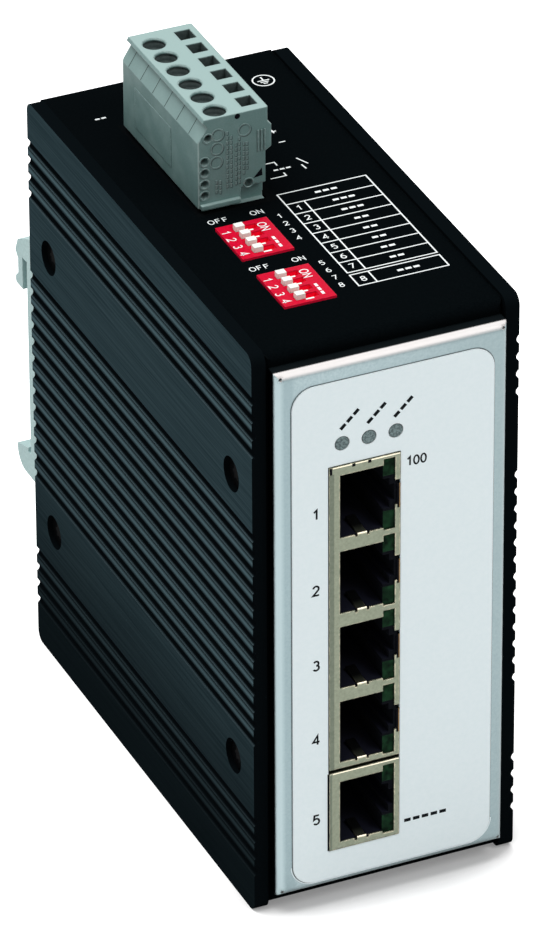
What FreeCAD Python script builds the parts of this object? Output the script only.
"""Five-port industrial network switch for a 35 mm rail.

Frame: origin at the centre of the chassis's underside, X across the width,
the front panel faces -Y, Z up, millimetres.
"""
import FreeCAD
import Part
import math
import os
import re
import Sketcher

# Driving sizes, in millimetres
SIZES = {
    # Housing
    "width": 48.6,
    "plate_height": 110.0,
    "plate_depth": 95.0,
    "plate_thickness": 2.6,
    "plate_corner": 2.0,
    "plate_lip": 0.6,
    "chassis_sheet": 1.2,
    "chassis_bend": 1.6,
    "cover_sheet": 1.2,
    "cover_gap": 0.2,
    "ear_width": 10.0,
    "ear_edge": 4.0,
    "overcut": 1.0,
    # Ribs of the side plates
    "groove_pitch": 3.37,
    "groove_depth": 0.5,
    "groove_radius": 1.0,
    "groove_band": 36.5,
    "mid_grooves": 13,
    "end_grooves": 4,
    # Fasteners
    "well_diameter": 6.3,
    "well_depth": 2.0,
    "well_span_depth": 78.0,
    "well_span_height": 56.0,
    "screw_diameter": 3.0,
    "screw_gap": 0.1,
    "screw_reach": 0.8,
    "head_diameter": 5.4,
    "head_height": 1.1,
    # Front panel and its label
    "panel_depth": 3.3,
    "panel_sheet": 1.0,
    "panel_bend": 1.5,
    "relief_diameter": 0.6,
    "relief_inset": 0.9,
    "panel_side": 0.6,
    "panel_low": 3.2,
    "panel_high": 2.4,
    "label_sheet": 0.25,
    "label_side": 2.7,
    "label_low": 1.6,
    "label_high": 3.4,
    "label_corner": 4.0,
    "window_gap": 0.15,
    "chassis_window_gap": 1.2,
    # Jacks
    "jack_inset": 16.45,
    "jack_width": 12.9,
    "jack_depth": 21.5,
    "jack_proud": 0.45,
    "shield_sheet": 0.35,
    "gang_z": 56.77,
    "port_count": 4,
    "port_pitch": 14.88,
    "gang_edge": 0.3,
    "single_z": 18.3,
    "single_height": 15.6,
    "port_edge": 1.9,
    "port_width": 12.25,
    "port_height": 7.95,
    "port_depth": 15.0,
    "port_drop": 0.33,
    "lamp_span": 13.9,
    "lamp_rise": 2.15,
    "notch_span": 4.9,
    "notch_depth": 3.0,
    "tab_offset": 4.1,
    "tab_width": 1.7,
    "tab_slit": 0.45,
    "tab_reach": 5.0,
    "tab_lift": 0.7,
    "tab_room": 0.15,
    "latch_width": 5.8,
    "latch_height": 1.2,
    "key_width": 3.2,
    "key_height": 0.9,
    "light_width": 3.5,
    "light_height": 2.1,
    "light_depth": 7.0,
    "wire_count": 8,
    "wire_pitch": 1.02,
    "wire_size": 0.4,
    "wire_start": 2.5,
    "wire_length": 7.5,
    "wire_rise": 2.6,
    # Status lights
    "status_inset": 17.25,
    "status_z": 90.95,
    "status_pitch": 4.88,
    "status_diameter": 2.5,
    "status_gap": 0.1,
    "status_block": 4.2,
    "status_block_depth": 6.0,
    "status_back": 4.0,
    # Slide switches
    "dip_inset": 14.05,
    "dip_y": -20.1,
    "dip_spacing": 17.1,
    "dip_width": 9.4,
    "dip_length": 11.5,
    "dip_height": 6.2,
    "dip_proud": 0.3,
    "dip_gap": 0.2,
    "slot_count": 4,
    "slot_pitch": 2.54,
    "slot_length": 4.2,
    "slot_width": 1.5,
    "slot_depth": 1.2,
    "slider_length": 1.6,
    "slider_gap": 0.1,
    "slider_rise": 0.9,
    "lead_size": 0.5,
    "lead_row": 7.62,
    "lead_drop": 1.2,
    # Pluggable terminal and its header
    "plug_inset": 15.8,
    "plug_y": 16.35,
    "plug_width": 13.6,
    "plug_length": 32.1,
    "plug_lift": 0.8,
    "plug_height": 16.8,
    "plug_round": 0.4,
    "shoulder_width": 1.7,
    "shoulder_height": 4.3,
    "shoulder_step": 1.6,
    "brim_width": 0.5,
    "brim_edge": 0.8,
    "brim_height": 0.6,
    "ridge_width": 0.7,
    "ridge_top": 3.6,
    "ridge_height": 4.6,
    "waist_width": 1.1,
    "foot_width": 5.8,
    "foot_height": 2.5,
    "foot_depth": 1.6,
    "core_diameter": 1.4,
    "core_depth": 2.5,
    "core_edge": 1.15,
    "core_low": 2.35,
    "core_pitch": 2.17,
    "shank_width": 11.2,
    "shank_length": 31.1,
    "shank_depth": 11.5,
    "pole_count": 6,
    "pole_pitch": 5.08,
    "entry_offset": 2.6,
    "entry_shift": 0.8,
    "entry_diameter": 4.2,
    "entry_depth": 10.0,
    "slot_offset": 3.5,
    "tool_width": 2.9,
    "tool_length": 3.2,
    "header_gap": 0.2,
    "header_wall": 1.2,
    "header_floor": 2.0,
    "pin_size": 1.0,
    "pin_length": 9.0,
    "pin_drop": 1.5,
    "sleeve_size": 2.2,
    "sleeve_gap": 0.15,
    "sleeve_length": 10.0,
    # Circuit board and what it carries
    "board_sheet": 1.6,
    "board_edge": 1.0,
    "post_flats": 5.5,
    "post_edge": 9.5,
    "post_low": 6.2,
    "post_high": 9.8,
    "chip_y": 0.0,
    "chip_z": 50.0,
    "chip_rise": 1.6,
    "chip_wide": 20.0,
    "chip_tall": 20.0,
    "coil_y": 4.0,
    "coil_drop": 8.4,
    "coil_rise": 7.0,
    "coil_wide": 12.0,
    "coil_tall": 12.0,
    "crystal_y": 20.0,
    "crystal_z": 42.0,
    "crystal_rise": 3.5,
    "crystal_wide": 11.0,
    "crystal_tall": 4.6,
    "relay_y": 30.0,
    "relay_drop": 6.4,
    "relay_rise": 10.0,
    "relay_wide": 10.0,
    "relay_tall": 20.0,
    "transformer_gap": 2.0,
    "transformer_rise": 6.0,
    "transformer_wide": 7.0,
    "transformer_tall": 12.6,
    "capacitor_y": 16.0,
    "capacitor_drop": 10.4,
    "capacitor_pitch": 12.0,
    "capacitor_diameter": 8.0,
    "capacitor_rise": 12.0,
    # Rail clip
    "clip_width": 47.8,
    "clip_plate": 2.6,
    "rail_center": 53.8,
    "rail_height": 35.0,
    "rail_room": 4.3,
    "rail_gap": 0.1,
    "rail_slot": 2.0,
    "hook_wall": 2.0,
    "hook_overlap": 2.2,
    "hook_bead": 1.2,
    "hook_cap": 5.3,
    "bead_round": 0.5,
    "nose_reach": 8.8,
    "nose_height": 4.8,
    "nose_round": 3.6,
    "catch_room": 1.2,
    "catch_height": 0.8,
    "clip_screw_x": 14.0,
    "spring_sheet": 0.5,
    "spring_span": 36.0,
    "spring_sag": 3.0,
}

# Places that several pieces share, worked out from the driving sizes
PLACES = {
    "inner_half": "width / 2 - plate_thickness",
    "wall_half": "inner_half - chassis_sheet",
    "top_z": "plate_height - 2 * plate_lip",
    "middle_z": "plate_height / 2 - plate_lip",
    "front_y": "plate_lip - plate_depth / 2",
    "back_y": "plate_depth / 2",
    "face_y": "front_y - panel_depth",
    "cover_y": "back_y - cover_sheet",
    "jack_front_y": "face_y - jack_proud",
    "jack_x": "jack_inset - inner_half",
    "status_x": "status_inset - inner_half",
    "dip_x": "dip_inset - inner_half",
    "plug_x": "plug_inset - inner_half",
    "jack_left_x": "jack_x - jack_width / 2",
    "jack_right_x": "jack_x + jack_width / 2",
    "port_left_x": "jack_left_x + port_edge",
    "port_right_x": "port_left_x + port_height",
    "gang_height": "port_pitch * port_count + gang_edge",
    "gang_top_z": "gang_z + gang_height / 2",
    "single_low_z": "single_z - single_height / 2",
    "board_x": "plug_x - shank_width / 2 - header_gap - header_wall",
    "seat_z": "top_z + plug_lift",
    "dip_top_z": "top_z + dip_proud",
    "notch_z": "rail_center - rail_height / 2 - rail_gap",
    "rail_top_z": "rail_center + rail_height / 2",
    "slot_top_z": "rail_top_z + rail_room",
    "hook_end_z": "rail_top_z - hook_overlap",
    "hook_out_y": "back_y + clip_plate + rail_slot + hook_wall",
    "gang_first_z": "gang_z - port_pitch * (port_count - 1) / 2",
    "dip_back_y": "dip_y + dip_spacing / 2",
    "dip_front_y": "dip_y - dip_spacing / 2",
    "dip_under_z": "dip_top_z - dip_height",
    "plug_floor_z": "seat_z - shank_depth",
    "header_floor_z": "plug_floor_z - header_gap",
    "well_half_y": "well_span_depth / 2",
    "well_half_z": "well_span_height / 2",
    "post_half_y": "plate_depth / 2 - post_edge",
    "post_mid_z": "(post_low + top_z - post_high) / 2",
    "post_half_z": "(top_z - post_high - post_low) / 2",
    "pin_low_z": "header_floor_z - header_floor - pin_drop",
    "coil_z": "pin_low_z - coil_drop - coil_tall / 2",
    "relay_z": "pin_low_z - relay_drop - relay_tall / 2",
    "capacitor_z": "pin_low_z - capacitor_drop",
    "tab_x": "port_left_x + tab_offset",
    "panel_half_x": "inner_half - panel_side",
    "panel_top_z": "top_z - panel_high",
    "panel_mid_z": "(panel_low + panel_top_z) / 2",
    "panel_half_z": "(panel_top_z - panel_low) / 2",
}

WELLS = ("middle_z", "well_half_y", "well_half_z")
POSTS = ("post_mid_z", "post_half_y", "post_half_z")
CLIP_SCREWS = [("-clip_screw_x", "rail_center"), ("clip_screw_x", "rail_center")]
STATUS = [f"status_x + {i} * status_pitch" for i in (-1, 0, 1)]
DIPS = {"dip_1": "dip_back_y", "dip_2": "dip_front_y"}


def fill(sheet, cells):
    """Write named cells, one to a row."""
    for row, (alias, content) in enumerate(cells.items(), 1):
        sheet.set(f"A{row}", alias)
        sheet.set(f"B{row}", content)
        sheet.setAlias(f"B{row}", alias)


def bind(formula):
    """Point every name in a formula at its cell in one of the two sheets."""
    def reference(hit):
        return ("sizes." if hit.group() in SIZES else "places.") + hit.group()

    return re.sub(r"[a-z][a-z_]+", reference, formula)


doc = FreeCAD.newDocument("network_switch")
sizes = doc.addObject("Spreadsheet::Sheet", "sizes")
fill(sizes, {name: str(value) for name, value in SIZES.items()})
places = doc.addObject("Spreadsheet::Sheet", "places")
fill(places, {name: "=" + bind(formula) for name, formula in PLACES.items()})
doc.recompute()
pieces = []


def number(name):
    """Read a size or a place as a number."""
    return float((sizes if name in SIZES else places).get(name))


def four(up, half_across, half_up):
    """Formulas of the four corners of a symmetric pattern."""
    return [(f"{i} * {half_across}", f"{up} + {k} * {half_up}") for i in (-1, 1) for k in (-1, 1)]


def four_points(up, half_across, half_up):
    """The same four corners as numbers."""
    return [(i * number(half_across), number(up) + k * number(half_up)) for i in (-1, 1) for k in (-1, 1)]


def new_body(name):
    """Start a piece that is built up from features."""
    body = doc.addObject("PartDesign::Body", name)
    body.Label = name
    pieces.append(body)
    return body


def sketch(body, plane, name, offset):
    """Start a sketch parallel to one of the body's own origin planes."""
    drawing = body.newObject("Sketcher::SketchObject", name)
    support = next(item for item in body.Origin.OriginFeatures if item.Role == plane)
    drawing.AttachmentSupport = [(support, "")]
    drawing.MapMode = "FlatFace"
    drawing.setExpression("AttachmentOffset.Base.z", bind(offset))
    return drawing


def front_sketch(body, name, y):
    """Sketch of X and Z at a given Y."""
    return sketch(body, "XZ_Plane", name, f"-({y})")


def side_sketch(body, name, x):
    """Sketch of Y and Z at a given X."""
    return sketch(body, "YZ_Plane", name, x)


def flat_sketch(body, name, z):
    """Sketch of X and Y at a given Z."""
    return sketch(body, "XY_Plane", name, z)


def hold(drawing, geometry, point, across, up):
    """Dimension one point of a sketch from the origin."""
    at = drawing.getPoint(geometry, point)
    for kind, value, formula in (("DistanceX", at.x, across), ("DistanceY", at.y, up)):
        number = drawing.addConstraint(Sketcher.Constraint(kind, geometry, point, value))
        drawing.setExpression(f"Constraints[{number}]", bind(formula))


def polygon(drawing, corners):
    """Draw a closed outline of straight lines through the corners."""
    count = len(corners)
    ring = Part.makeCircle(10.0 + drawing.GeometryCount).discretize(count + 1)
    first = drawing.GeometryCount
    for i in range(count):
        drawing.addGeometry(Part.LineSegment(ring[i], ring[(i + 1) % count]))
    for i, (across, up) in enumerate(corners):
        drawing.addConstraint(Sketcher.Constraint("Coincident", first + i - 1 if i else first + count - 1, 2,
                                                  first + i, 1))
        hold(drawing, first + i, 1, across, up)


def rectangle(drawing, left, right, low, high):
    """Draw a rectangle from its four sides."""
    polygon(drawing, [(left, low), (right, low), (right, high), (left, high)])


def square(drawing, across, up, wide, tall):
    """Draw a rectangle about its centre."""
    rectangle(drawing, f"{across} - {wide} / 2", f"{across} + {wide} / 2",
              f"{up} - {tall} / 2", f"{up} + {tall} / 2")


def circles(drawing, centres, diameter):
    """Draw equal circles."""
    for i, (across, up) in enumerate(centres):
        start = FreeCAD.Vector(10.0 * i + 10.0, 10.0, 0.0)
        ring = drawing.addGeometry(Part.Circle(start, FreeCAD.Vector(0, 0, 1), 1.0))
        hold(drawing, ring, 3, across, up)
        number = drawing.addConstraint(Sketcher.Constraint("Diameter", ring, 2.0))
        drawing.setExpression(f"Constraints[{number}]", bind(diameter))


def extrude(kind, body, drawing, length, flip):
    """Pad or pocket a sketch along its normal."""
    doc.recompute()
    before = body.Shape.Volume if body.Tip and not body.Shape.isNull() else 0.0
    feature = body.newObject(f"PartDesign::{kind}", f"{drawing.Name}_{kind.lower()}")
    feature.Profile = drawing
    feature.setExpression("Length", bind(length))
    feature.Reversed = flip
    doc.recompute()
    if abs(body.Shape.Volume - before) < 1e-6:
        raise RuntimeError(f"{feature.Name} changes nothing")
    return feature


def pad(body, drawing, length, flip=False):
    """Add material along the sketch's normal, or against it."""
    return extrude("Pad", body, drawing, length, flip)


def pocket(body, drawing, length, flip=False):
    """Remove material against the sketch's normal, or along it."""
    return extrude("Pocket", body, drawing, length, flip)


def repeat(body, feature, drawing, axis, pitch, count):
    """Repeat a feature in a straight row along a sketch axis."""
    pattern = body.newObject("PartDesign::LinearPattern", f"{feature.Name}_row")
    pattern.Originals = [feature]
    pattern.Direction = (drawing, [axis])
    pattern.setExpression("Length", bind(f"{pitch} * ({count} - 1)"))
    pattern.setExpression("Occurrences", bind(count))
    body.Tip = pattern
    doc.recompute()
    return pattern


def along(edge, axis):
    """Whether a straight edge runs along the axis."""
    box = edge.BoundBox
    spans = {"X": box.XLength, "Y": box.YLength, "Z": box.ZLength}
    return all((span > 1e-4) == (name == axis) for name, span in spans.items())


def lies_at(edge, y, z):
    """Whether an edge along X lies at that Y and Z."""
    return abs(edge.BoundBox.YMax - y) < 1e-4 and abs(edge.BoundBox.ZMax - z) < 1e-4


def fillet(body, radius, chosen):
    """Round the edges of the latest feature that the test picks."""
    base = body.Tip
    names = [f"Edge{i}" for i, edge in enumerate(base.Shape.Edges, 1) if chosen(edge)]
    feature = body.newObject("PartDesign::Fillet", f"{body.Name}_round")
    feature.Base = (base, names)
    feature.setExpression("Radius", bind(radius))
    doc.recompute()
    return feature


def block(name, x, y, z, dx, dy, dz, piece=True):
    """A box from its low corner and its three lengths."""
    box = doc.addObject("Part::Box", name)
    box.Label = name
    for key, formula in (("Length", dx), ("Width", dy), ("Height", dz), ("Placement.Base.x", x),
                         ("Placement.Base.y", y), ("Placement.Base.z", z)):
        box.setExpression(key, bind(formula))
    if piece:
        pieces.append(box)
    return box


def group(name, solids):
    """Several equal small solids kept as one piece."""
    feature = doc.addObject("Part::Feature", name)
    feature.Label = name
    feature.Shape = Part.makeCompound(solids)
    feature.Placement = FreeCAD.Placement()
    pieces.append(feature)
    return feature


def screw(place, direction, head_height, length):
    """A screw whose head seats at a place; the shank runs against the direction."""
    out = FreeCAD.Vector(*direction)
    seat = FreeCAD.Vector(*place)
    head = Part.makeCylinder(number("head_diameter") / 2, head_height, seat, out)
    shank = Part.makeCylinder(number("screw_diameter") / 2, length, seat, -out)
    return head.fuse(shank).removeSplitter()


def side_plate(name, side):
    """One ribbed side plate with its screw wells."""
    body = new_body(name)
    outer = f"({side} * width / 2)"
    low_side = outer if side < 0 else f"({outer} - plate_thickness)"
    outline = side_sketch(body, f"{name}_outline", low_side)
    rectangle(outline, "-plate_depth / 2", "plate_depth / 2", "-plate_lip", "plate_height - plate_lip")
    pad(body, outline, "plate_thickness")
    fillet(body, "plate_corner", lambda edge: along(edge, "X"))
    cutter = f"({outer} + {side} * (groove_radius - groove_depth))"
    bands = (("low", "(middle_z - groove_band - groove_pitch * (end_grooves - 1))", "end_grooves"),
             ("mid", "(middle_z - groove_pitch * (mid_grooves - 1) / 2)", "mid_grooves"),
             ("high", "(middle_z + groove_band)", "end_grooves"))
    for tag, first, count in bands:
        drawing = front_sketch(body, f"{name}_{tag}_groove", "-plate_depth / 2 - overcut")
        circles(drawing, [(cutter, first)], "2 * groove_radius")
        groove = pocket(body, drawing, "plate_depth + 2 * overcut")
        repeat(body, groove, drawing, "V_Axis", "groove_pitch", count)
    wells = side_sketch(body, f"{name}_wells", outer)
    circles(wells, four(*WELLS), "well_diameter")
    pocket(body, wells, "well_depth", side < 0)
    holes = side_sketch(body, f"{name}_holes", outer)
    circles(holes, four(*WELLS), "screw_diameter + 2 * screw_gap")
    pocket(body, holes, "plate_thickness", side < 0)


def chassis():
    """Folded box, open at the back, that everything hangs on."""
    body = new_body("chassis")
    outline = front_sketch(body, "chassis_outline", "front_y")
    rectangle(outline, "-inner_half", "inner_half", "0", "top_z")
    pad(body, outline, "back_y - front_y", True)
    front = number("front_y")
    fillet(body, "chassis_bend", lambda edge: abs(edge.BoundBox.YMax - front) < 1e-4)
    hollow = front_sketch(body, "chassis_hollow", "back_y")
    rectangle(hollow, "-wall_half", "wall_half", "chassis_sheet", "top_z - chassis_sheet")
    pocket(body, hollow, "back_y - front_y - chassis_sheet", True)
    window = front_sketch(body, "chassis_window", "front_y - overcut")
    rectangle(window, "jack_left_x - chassis_window_gap", "jack_right_x + chassis_window_gap",
              "single_low_z - chassis_window_gap", "gang_top_z + chassis_window_gap")
    square(window, "status_x", "status_z", "(2 * status_pitch + status_diameter + 4 * status_gap)",
           "(status_diameter + 4 * status_gap)")
    pocket(body, window, "chassis_sheet + overcut")
    hatch = flat_sketch(body, "chassis_hatch", "top_z + overcut")
    square(hatch, "plug_x", "plug_y", "(shank_width + 2 * header_wall + 4 * header_gap)",
           "(shank_length + 2 * header_wall + 4 * header_gap)")
    for y in DIPS.values():
        square(hatch, "dip_x", f"({y})", "(dip_width + 2 * dip_gap)", "(dip_length + 2 * dip_gap)")
    pocket(body, hatch, "chassis_sheet + overcut")
    holes = side_sketch(body, "chassis_side_holes", "inner_half + overcut")
    circles(holes, four(*WELLS), "screw_diameter + 2 * screw_gap")
    pocket(body, holes, "2 * (inner_half + overcut)")


def rear_cover():
    """Sheet that closes the back, with bent ears under the rear side screws."""
    body = new_body("rear_cover")
    outline = front_sketch(body, "cover_outline", "cover_y")
    rectangle(outline, "cover_gap - wall_half", "wall_half - cover_gap", "chassis_sheet + cover_gap",
              "top_z - chassis_sheet - cover_gap")
    pad(body, outline, "cover_sheet", True)
    ears = front_sketch(body, "cover_ears", "cover_y")
    for across, up in four("middle_z", "(wall_half - cover_gap - cover_sheet / 2)", "well_half_z"):
        square(ears, f"({across})", f"({up})", "cover_sheet", "ear_width")
    pad(body, ears, "cover_y - well_half_y + ear_edge")
    drill = side_sketch(body, "cover_ear_holes", "wall_half")
    rear_wells = [("well_half_y", "middle_z - well_half_z"), ("well_half_y", "middle_z + well_half_z")]
    circles(drill, rear_wells, "screw_diameter + 2 * screw_gap")
    pocket(body, drill, "2 * wall_half")
    holes = front_sketch(body, "cover_holes", "back_y")
    circles(holes, CLIP_SCREWS, "screw_diameter + 2 * screw_gap")
    pocket(body, holes, "cover_sheet", True)


def front_panel():
    """Bright folded tray that frames the jacks and the status lights."""
    body = new_body("front_panel")
    outline = front_sketch(body, "panel_outline", "front_y")
    rectangle(outline, "-panel_half_x", "panel_half_x", "panel_low", "panel_top_z")
    pad(body, outline, "panel_depth")
    face = number("face_y")
    fillet(body, "panel_bend", lambda edge: abs(edge.BoundBox.YMax - face) < 1e-4)
    hollow = front_sketch(body, "panel_hollow", "front_y")
    rectangle(hollow, "panel_sheet - panel_half_x", "panel_half_x - panel_sheet", "panel_low + panel_sheet",
              "panel_top_z - panel_sheet")
    pocket(body, hollow, "panel_depth - panel_sheet", True)
    reliefs = front_sketch(body, "panel_reliefs", "face_y")
    circles(reliefs, four("panel_mid_z", "(panel_half_x - relief_inset)", "(panel_half_z - relief_inset)"),
            "relief_diameter")
    pocket(body, reliefs, "panel_depth - panel_sheet")
    front_cutouts(body, "panel_window", "face_y - overcut", "panel_sheet + 2 * overcut")


def front_cutouts(body, name, y, length):
    """The jack window and the holes for the status lights."""
    window = front_sketch(body, name, y)
    rectangle(window, "jack_left_x - window_gap", "jack_right_x + window_gap",
              "single_low_z - window_gap", "gang_top_z + window_gap")
    circles(window, [(x, "status_z") for x in STATUS], "status_diameter + 2 * status_gap")
    pocket(body, window, length)


def front_label():
    """Pale film on the panel's face."""
    body = new_body("front_label")
    outline = front_sketch(body, "label_outline", "face_y")
    rectangle(outline, "label_side - panel_half_x", "panel_half_x - label_side", "panel_low + label_low",
              "panel_top_z - label_high")
    pad(body, outline, "label_sheet")
    fillet(body, "label_corner", lambda edge: along(edge, "Y"))
    front_cutouts(body, "label_window", "face_y - label_sheet - overcut", "label_sheet + 2 * overcut")


def jack_shield(name, centre, height, first, count):
    """Sheet shield round one row of jacks, open towards the board."""
    body = new_body(f"{name}_shield")
    outline = front_sketch(body, f"{name}_shield_outline", "jack_front_y")
    rectangle(outline, "jack_left_x", "jack_right_x", f"{centre} - {height} / 2", f"{centre} + {height} / 2")
    pad(body, outline, "jack_depth", True)
    hollow = front_sketch(body, f"{name}_shield_hollow", "jack_front_y + jack_depth + overcut")
    rectangle(hollow, "jack_left_x + shield_sheet", "jack_right_x - shield_sheet",
              f"{centre} - {height} / 2 + shield_sheet", f"{centre} + {height} / 2 - shield_sheet")
    pocket(body, hollow, "jack_depth - shield_sheet + overcut", True)
    skirt = flat_sketch(body, f"{name}_shield_skirt", f"{centre} + {height} / 2 - shield_sheet")
    rectangle(skirt, "jack_left_x - overcut", "jack_left_x + 2 * shield_sheet",
              "front_y + chassis_sheet", "jack_front_y + jack_depth + overcut")
    pocket(body, skirt, f"{height} - 2 * shield_sheet")
    low, high = f"{first} - lamp_span / 2", f"{first} + lamp_span / 2"
    floor = f"({first} - port_drop - port_width / 2)"
    mouth = front_sketch(body, f"{name}_shield_mouth", "jack_front_y - overcut")
    step = "port_right_x + lamp_rise"
    polygon(mouth, [("port_left_x", floor), ("port_right_x", floor), ("port_right_x", low), (step, low),
                    (step, high), ("port_right_x", high), ("port_right_x", f"{floor} + port_width"),
                    ("port_left_x", f"{floor} + port_width")])
    opening = pocket(body, mouth, "shield_sheet + 2 * overcut")
    repeat(body, opening, mouth, "V_Axis", "port_pitch", count)
    slits = front_sketch(body, f"{name}_shield_slits", "jack_front_y - overcut")
    for side in (-1, 1):
        square(slits, f"(tab_x + {side} * (tab_width + tab_slit) / 2)", floor, "tab_slit", "(2 * tab_slit)")
    cuts = pocket(body, slits, "shield_sheet + 2 * overcut")
    repeat(body, cuts, slits, "V_Axis", "port_pitch", count)
    tab = side_sketch(body, f"{name}_shield_tab", "tab_x - tab_width / 2")
    tip = "jack_front_y + tab_reach"
    under = f"{floor} - shield_sheet"
    polygon(tab, [("jack_front_y", under), ("jack_front_y + shield_sheet", under), (tip, f"{under} + tab_lift"),
                  (tip, f"{floor} + tab_lift"), ("jack_front_y", floor)])
    spring = pad(body, tab, "tab_width")
    repeat(body, spring, tab, "V_Axis", "port_pitch", count)
    if count in SIZES:
        notch = front_sketch(body, f"{name}_shield_notch", "jack_front_y - overcut")
        rectangle(notch, "port_right_x", "jack_right_x + overcut", f"{first} - notch_span / 2",
                  f"{first} + notch_span / 2")
        gap = pocket(body, notch, "notch_depth + overcut")
        repeat(body, gap, notch, "V_Axis", "port_pitch", count)


def jack_housing(name, centre, height, first, count):
    """Moulded insert with the stepped, keyed openings for the cable plugs."""
    body = new_body(f"{name}_housing")
    front = "(jack_front_y + shield_sheet)"
    low = f"({centre} - {height} / 2 + shield_sheet)"
    high = f"({centre} + {height} / 2 - shield_sheet)"
    outline = front_sketch(body, f"{name}_housing_outline", front)
    rectangle(outline, "jack_left_x + shield_sheet", "jack_right_x - shield_sheet", low, high)
    pad(body, outline, "jack_depth - shield_sheet", True)
    foot = front_sketch(body, f"{name}_housing_foot", "front_y + chassis_sheet + board_edge")
    rectangle(foot, "board_x", "jack_left_x + 2 * shield_sheet", low, high)
    pad(body, foot, "jack_front_y + jack_depth - front_y - chassis_sheet - board_edge", True)
    step = "(port_right_x + latch_height)"
    floor = f"({first} - port_drop - port_width / 2)"
    mouth = front_sketch(body, f"{name}_housing_mouth", front)
    polygon(mouth, [("port_left_x", floor), ("port_right_x", floor),
                    ("port_right_x", f"{first} - latch_width / 2"), (step, f"{first} - latch_width / 2"),
                    (step, f"{first} - key_width / 2"), (f"{step} + key_height", f"{first} - key_width / 2"),
                    (f"{step} + key_height", f"{first} + key_width / 2"), (step, f"{first} + key_width / 2"),
                    (step, f"{first} + latch_width / 2"), ("port_right_x", f"{first} + latch_width / 2"),
                    ("port_right_x", f"{floor} + port_width"), ("port_left_x", f"{floor} + port_width")])
    cavity = pocket(body, mouth, "port_depth")
    repeat(body, cavity, mouth, "V_Axis", "port_pitch", count)
    channel = front_sketch(body, f"{name}_housing_channel", front)
    rectangle(channel, "tab_x - tab_width / 2 - tab_room", "tab_x + tab_width / 2 + tab_room",
              f"{floor} - shield_sheet - tab_room", floor)
    groove = pocket(body, channel, "tab_reach")
    repeat(body, groove, channel, "V_Axis", "port_pitch", count)
    seats = front_sketch(body, f"{name}_housing_seats", front)
    light_outlines(seats, first)
    seat = pocket(body, seats, "light_depth")
    repeat(body, seat, seats, "V_Axis", "port_pitch", count)


def light_outlines(drawing, first):
    """The two light windows beside one latch slot."""
    left = "port_right_x + (lamp_rise - light_height) / 2"
    for side in (-1, 1):
        middle = f"({first} + {side} * (lamp_span - light_width) / 2)"
        rectangle(drawing, left, f"{left} + light_height", f"{middle} - light_width / 2",
                  f"{middle} + light_width / 2")


def jack_lights(name, first, count):
    """Light windows of one row of jacks."""
    body = new_body(f"{name}_lights")
    drawing = front_sketch(body, f"{name}_lights_outline", "jack_front_y + shield_sheet")
    light_outlines(drawing, first)
    lamp = pad(body, drawing, "light_depth", True)
    repeat(body, lamp, drawing, "V_Axis", "port_pitch", count)


def jack_wires(name, first, count):
    """Spring wires that lean out of the wall opposite the latch."""
    left = number("port_left_x")
    front = number("jack_front_y") + number("shield_sheet") + number("wire_start")
    low = number(first) - number("port_drop")
    wire = number("wire_size")
    back = front + number("wire_length")
    tip = left + number("wire_rise")
    outline = [(left, front), (left, front + 2 * wire), (tip - wire, back), (tip, back)]
    solids = []
    for port in range(count):
        for i in range(int(number("wire_count"))):
            z = low + port * number("port_pitch") + (i - (number("wire_count") - 1) / 2) * number("wire_pitch")
            ring = [FreeCAD.Vector(x, y, z - wire / 2) for x, y in outline]
            face = Part.Face(Part.makePolygon(ring + ring[:1]))
            solids.append(face.extrude(FreeCAD.Vector(0, 0, wire)))
    group(f"{name}_wires", solids)


def jack(name, centre, height, first, count):
    """One row of jacks: shield, insert, light windows and wires."""
    jack_shield(name, centre, height, first, count)
    jack_housing(name, centre, height, first, count)
    jack_lights(name, first, count)
    jack_wires(name, first, int(number(count)) if count in SIZES else 1)


def status_lights():
    """Moulded holder on the board and three round lamps through the panel."""
    back = "(front_y + chassis_sheet + status_back)"
    half = "status_pitch + status_block / 2"
    block("status_holder", "board_x", back, "status_z - status_block / 2",
          f"status_x + {half} - board_x", "status_block_depth", "status_block")
    for i, x in enumerate(STATUS, 1):
        body = new_body(f"status_light_{i}")
        drawing = front_sketch(body, f"status_light_{i}_outline", back)
        circles(drawing, [(x, "status_z")], "status_diameter")
        pad(body, drawing, f"{back} - face_y + label_sheet")


def slide_switch(name, y):
    """Four-way slide switch: body, leads and its sliders at rest in OFF."""
    body = new_body(f"{name}_body")
    outline = flat_sketch(body, f"{name}_outline", "dip_top_z - dip_height")
    square(outline, "dip_x", f"({y})", "dip_width", "dip_length")
    pad(body, outline, "dip_height")
    slots = flat_sketch(body, f"{name}_slots", "dip_top_z")
    first = f"({y} - slot_pitch * (slot_count - 1) / 2)"
    square(slots, "dip_x", first, "slot_length", "slot_width")
    slot = pocket(body, slots, "slot_depth")
    repeat(body, slot, slots, "V_Axis", "slot_pitch", "slot_count")
    for i in range(int(number("slot_count"))):
        middle = f"({y} + ((slot_count - 1) / 2 - {i}) * slot_pitch)"
        block(f"{name}_slider_{i + 1}", "dip_x - slot_length / 2 + slider_gap",
              f"{middle} - slot_width / 2 + slider_gap", "dip_top_z - slot_depth + slider_gap",
              "slider_length", "slot_width - 2 * slider_gap", "slot_depth - slider_gap + slider_rise")
    board, under, middle, x = number("board_x"), number("dip_under_z"), number(y), number("dip_x")
    solids = []
    lead = number("lead_size")
    for side in (-1, 1):
        drop = number("lead_drop") * (2 + side)
        left = x + side * number("lead_row") / 2 - lead / 2
        for i in range(int(number("slot_count"))):
            at = middle + ((number("slot_count") - 1) / 2 - i) * number("slot_pitch") - lead / 2
            leg = Part.makeBox(lead, lead, drop, FreeCAD.Vector(left, at, under - drop))
            foot = Part.makeBox(left - board, lead, lead, FreeCAD.Vector(board, at, under - drop))
            solids.append(leg.fuse(foot).removeSplitter())
    group(f"{name}_leads", solids)


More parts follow.
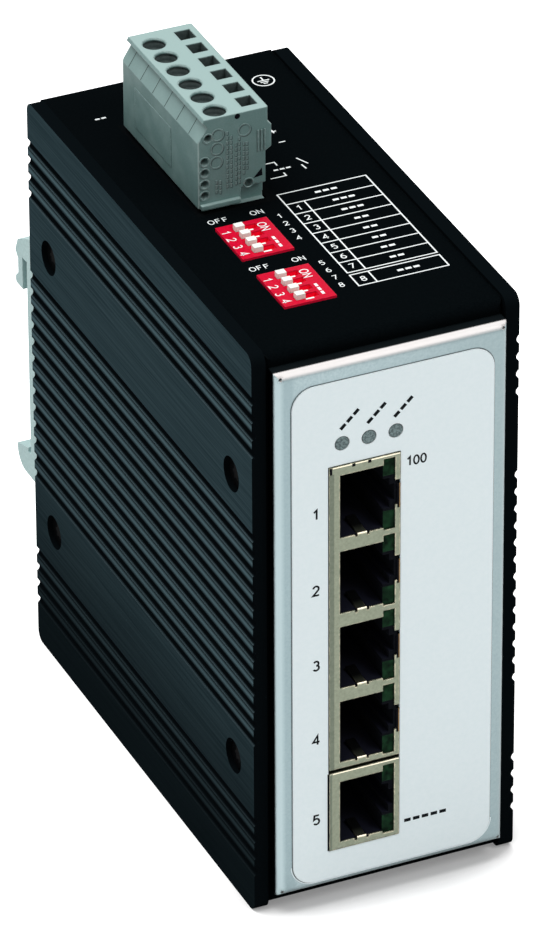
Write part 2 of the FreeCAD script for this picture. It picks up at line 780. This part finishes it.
def terminal_header():
    """Open-topped header on the board's upper edge, with its bent pins."""
    body = new_body("terminal_header")
    wide = "(shank_width + 2 * header_gap + 2 * header_wall)"
    long = "(shank_length + 2 * header_gap + 2 * header_wall)"
    floor = "header_floor_z"
    outline = flat_sketch(body, "header_outline", f"{floor} - header_floor")
    square(outline, "plug_x", "plug_y", wide, long)
    pad(body, outline, f"top_z - {floor} + header_floor")
    well = flat_sketch(body, "header_well", "top_z")
    square(well, "plug_x", "plug_y", f"({wide} - 2 * header_wall)", f"({long} - 2 * header_wall)")
    pocket(body, well, f"top_z - {floor}")
    drill = flat_sketch(body, "header_drill", floor)
    square(drill, "plug_x", "(plug_y - pole_pitch * (pole_count - 1) / 2)", "pin_size", "pin_size")
    hole = pocket(body, drill, "header_floor")
    repeat(body, hole, drill, "V_Axis", "pole_pitch", "pole_count")
    base, board, x, middle = number("header_floor_z"), number("board_x"), number("plug_x"), number("plug_y")
    pin = number("pin_size")
    low = base - number("header_floor") - number("pin_drop")
    solids = []
    for i in range(int(number("pole_count"))):
        y = middle + (i - (number("pole_count") - 1) / 2) * number("pole_pitch") - pin / 2
        post = Part.makeBox(pin, pin, base + number("pin_length") - low, FreeCAD.Vector(x - pin / 2, y, low))
        tail = Part.makeBox(x - pin / 2 - board, pin, pin, FreeCAD.Vector(board, y, low))
        solids.append(post.fuse(tail).removeSplitter())
    group("header_pins", solids)


def terminal_plug():
    """Moulded spring-clamp plug: entries, release slots and contact sleeves."""
    body = new_body("plug_body")
    left = "(plug_x - plug_width / 2)"
    right = "(plug_x + plug_width / 2)"
    top = "(seat_z + plug_height)"
    front = "(plug_y - plug_length / 2)"
    profile = front_sketch(body, "plug_profile", front)
    polygon(profile, [
        (left, "seat_z"), (f"{right} - waist_width", "seat_z"),
        (f"{right} - waist_width", f"{top} - ridge_top - ridge_height"),
        (right, f"{top} - ridge_top - ridge_height + ridge_width"), (right, f"{top} - ridge_top"),
        (f"{right} - ridge_width", f"{top} - ridge_top + ridge_width"), (f"{right} - ridge_width", top),
        (f"{left} + shoulder_width - brim_width", top),
        (f"{left} + shoulder_width - brim_edge", f"{top} - brim_height"),
        (f"{left} + shoulder_width", f"{top} - shoulder_step"), (left, f"{top} - shoulder_height")])
    pad(body, profile, "plug_length", True)
    fillet(body, "plug_round", lambda edge: along(edge, "Z"))
    shank = flat_sketch(body, "plug_shank", "seat_z")
    square(shank, "plug_x", "plug_y", "shank_width", "shank_length")
    pad(body, shank, "shank_depth", True)
    first = "(plug_y - pole_pitch * (pole_count - 1) / 2)"
    entries = flat_sketch(body, "plug_entries", top)
    circles(entries, [("plug_x - entry_offset", f"{first} - entry_shift")], "entry_diameter")
    entry = pocket(body, entries, "entry_depth")
    repeat(body, entry, entries, "V_Axis", "pole_pitch", "pole_count")
    tools = flat_sketch(body, "plug_tool_slots", top)
    square(tools, "plug_x + slot_offset", first, "tool_width", "tool_length")
    tool = pocket(body, tools, "entry_depth")
    repeat(body, tool, tools, "V_Axis", "pole_pitch", "pole_count")
    cores = front_sketch(body, "plug_cores", front)
    column = [(f"{left} + core_edge", f"seat_z + core_low + {i} * core_pitch") for i in range(4)]
    shoulder = (f"{left} + core_edge + core_diameter / 2", f"{top} - shoulder_height + core_diameter / 2")
    corner = (f"{right} - foot_width + core_diameter", "seat_z + core_low + core_diameter / 2")
    circles(cores, column + [shoulder, corner], "core_diameter")
    pocket(body, cores, "core_depth")
    foot = front_sketch(body, "plug_foot", front)
    rectangle(foot, f"{right} - foot_width", f"{right} + overcut", "seat_z - overcut", "seat_z + foot_height")
    pocket(body, foot, "foot_depth")
    sockets = flat_sketch(body, "plug_sockets", "seat_z - shank_depth")
    square(sockets, "plug_x", first, "sleeve_size", "sleeve_size")
    socket = pocket(body, sockets, "sleeve_length", True)
    repeat(body, socket, sockets, "V_Axis", "pole_pitch", "pole_count")
    low, x, middle = number("plug_floor_z"), number("plug_x"), number("plug_y")
    outer = number("sleeve_size")
    inner = number("pin_size") + 2 * number("sleeve_gap")
    length = number("sleeve_length")
    solids = []
    for i in range(int(number("pole_count"))):
        y = middle + (i - (number("pole_count") - 1) / 2) * number("pole_pitch")
        tube = Part.makeBox(outer, outer, length, FreeCAD.Vector(x - outer / 2, y - outer / 2, low))
        bore = Part.makeBox(inner, inner, length, FreeCAD.Vector(x - inner / 2, y - inner / 2, low))
        solids.append(tube.cut(bore))
    group("plug_sleeves", solids)


def main_board():
    """Upright circuit board on four posts from the left wall."""
    body = new_body("main_board")
    front = "(front_y + chassis_sheet + board_edge)"
    back = "(cover_y - chassis_sheet - board_edge)"
    outline = side_sketch(body, "board_outline", "board_x - board_sheet")
    rectangle(outline, front, back, "chassis_sheet + board_edge", "top_z - chassis_sheet - board_edge")
    pad(body, outline, "board_sheet")
    wall = -number("wall_half")
    length = number("board_x") - number("board_sheet") - wall
    along_x = FreeCAD.Vector(1, 0, 0)
    posts = []
    for y, z in four_points(*POSTS):
        circle = Part.makeCircle(number("post_flats") / math.sqrt(3), FreeCAD.Vector(wall, y, z), along_x)
        posts.append(Part.Face(Part.makePolygon(circle.discretize(7))).extrude(along_x * length))
    group("board_posts", posts)


def board_parts():
    """Electronics on the right face of the board, each from the centre of its foot."""
    for name in ("chip", "coil", "crystal", "relay"):
        block(f"board_{name}", "board_x", f"{name}_y - {name}_wide / 2", f"{name}_z - {name}_tall / 2",
              f"{name}_rise", f"{name}_wide", f"{name}_tall")
    ports = [f"gang_first_z + {i} * port_pitch" for i in range(int(number("port_count")))]
    for i, z in enumerate(["single_z"] + ports, 1):
        block(f"port_transformer_{i}", "board_x", "jack_front_y + jack_depth + transformer_gap",
              f"{z} - transformer_tall / 2", "transformer_rise", "transformer_wide", "transformer_tall")
    for i in (1, 2):
        body = new_body(f"capacitor_{i}")
        foot = side_sketch(body, f"capacitor_{i}_foot", "board_x")
        circles(foot, [("capacitor_y", f"capacitor_z - {i - 1} * capacitor_pitch")], "capacitor_diameter")
        pad(body, foot, "capacitor_rise")


def housing_screws():
    """Screws of the side plates and of the rail clip."""
    side_length = (number("plate_thickness") - number("well_depth") + number("chassis_sheet")
                   + number("cover_gap") + number("cover_sheet") + number("screw_reach"))
    solids = []
    for side in (-1, 1):
        seat = side * (number("width") / 2 - number("well_depth"))
        for y, z in four_points(*WELLS):
            solids.append(screw((seat, y, z), (side, 0, 0), number("head_height"), side_length))
    group("side_screws", solids)
    back = number("back_y")
    seat = back + number("clip_plate") - number("well_depth")
    clip_length = seat - back + number("cover_sheet") + number("screw_reach")
    group("clip_screws", [screw((side * number("clip_screw_x"), seat, number("rail_center")), (0, 1, 0),
                                number("head_height"), clip_length) for side in (-1, 1)])


def rail_clip():
    """Drawn rail clip: fixed hook above, catch below, and the leaf spring in the hook."""
    body = new_body("rail_clip")
    plate = "(back_y + clip_plate)"
    nose = "(back_y + nose_reach)"
    profile = side_sketch(body, "clip_profile", "-clip_width / 2")
    polygon(profile, [
        ("back_y", "notch_z - nose_height"), (nose, "notch_z - nose_height"),
        (nose, "notch_z - catch_height"), (f"{plate} + catch_room", "notch_z + catch_height"),
        (f"{plate} + catch_room", "notch_z"), (plate, "notch_z"), (plate, "slot_top_z"),
        (f"{plate} + rail_slot", "slot_top_z"), (f"{plate} + rail_slot", "hook_end_z"),
        ("hook_out_y + hook_bead", "hook_end_z"), ("hook_out_y + hook_bead", "hook_end_z + hook_bead"),
        ("hook_out_y", "hook_end_z + 2 * hook_bead"), ("hook_out_y", "slot_top_z - hook_bead"),
        ("hook_out_y + hook_bead", "slot_top_z"), ("hook_out_y", "slot_top_z + hook_cap / 2"),
        ("back_y + clip_plate / 2", "slot_top_z + hook_cap"), ("back_y", "slot_top_z + hook_cap")])
    pad(body, profile, "clip_width")
    tip, low = number("back_y") + number("nose_reach"), number("notch_z") - number("nose_height")
    fillet(body, "nose_round", lambda edge: along(edge, "X") and lies_at(edge, tip, low))
    rim, end = number("hook_out_y") + number("hook_bead"), number("hook_end_z")
    heights = (end, end + number("hook_bead"), number("slot_top_z"))
    fillet(body, "bead_round", lambda edge: along(edge, "X") and any(lies_at(edge, rim, z) for z in heights))
    sinks = front_sketch(body, "clip_sinks", plate)
    circles(sinks, CLIP_SCREWS, "well_diameter")
    pocket(body, sinks, "well_depth", True)
    holes = front_sketch(body, "clip_holes", plate)
    circles(holes, CLIP_SCREWS, "screw_diameter + 2 * screw_gap")
    pocket(body, holes, "clip_plate", True)
    spring = new_body("rail_spring")
    strip = front_sketch(spring, "spring_strip", f"{plate} + rail_slot / 2 + spring_sheet")
    low = "(slot_top_z - spring_sag)"
    polygon(strip, [("-spring_span / 2", f"{low} - spring_sheet"), ("0", "slot_top_z - spring_sheet"),
                    ("spring_span / 2", f"{low} - spring_sheet"), ("spring_span / 2", low),
                    ("0", "slot_top_z"), ("-spring_span / 2", low)])
    pad(spring, strip, "2 * spring_sheet")


def check():
    """Stop before writing if any feature failed or any piece is not a sound solid."""
    doc.recompute()
    for item in doc.Objects:
        if "Invalid" in item.State or "Error" in item.State:
            raise RuntimeError(f"{item.Name} failed: {item.State}")
    for piece in pieces:
        if piece.Shape.isNull() or not piece.Shape.isValid() or not piece.Shape.Solids:
            raise RuntimeError(f"{piece.Label} is not a sound solid")


for plate_name, plate_side in (("left_side_plate", -1), ("right_side_plate", 1)):
    side_plate(plate_name, plate_side)
chassis()
rear_cover()
front_panel()
front_label()
jack("gang_jack", "gang_z", "gang_height", "gang_first_z", "port_count")
jack("single_jack", "single_z", "single_height", "single_z", "1")
status_lights()
for dip_name, dip_place in DIPS.items():
    slide_switch(dip_name, dip_place)
terminal_header()
terminal_plug()
main_board()
board_parts()
housing_screws()
rail_clip()
check()
os.makedirs("parts", exist_ok=True)
for piece in pieces:
    piece.Shape.exportStep(f"parts/{piece.Label}.step")
print(len(pieces), "pieces")
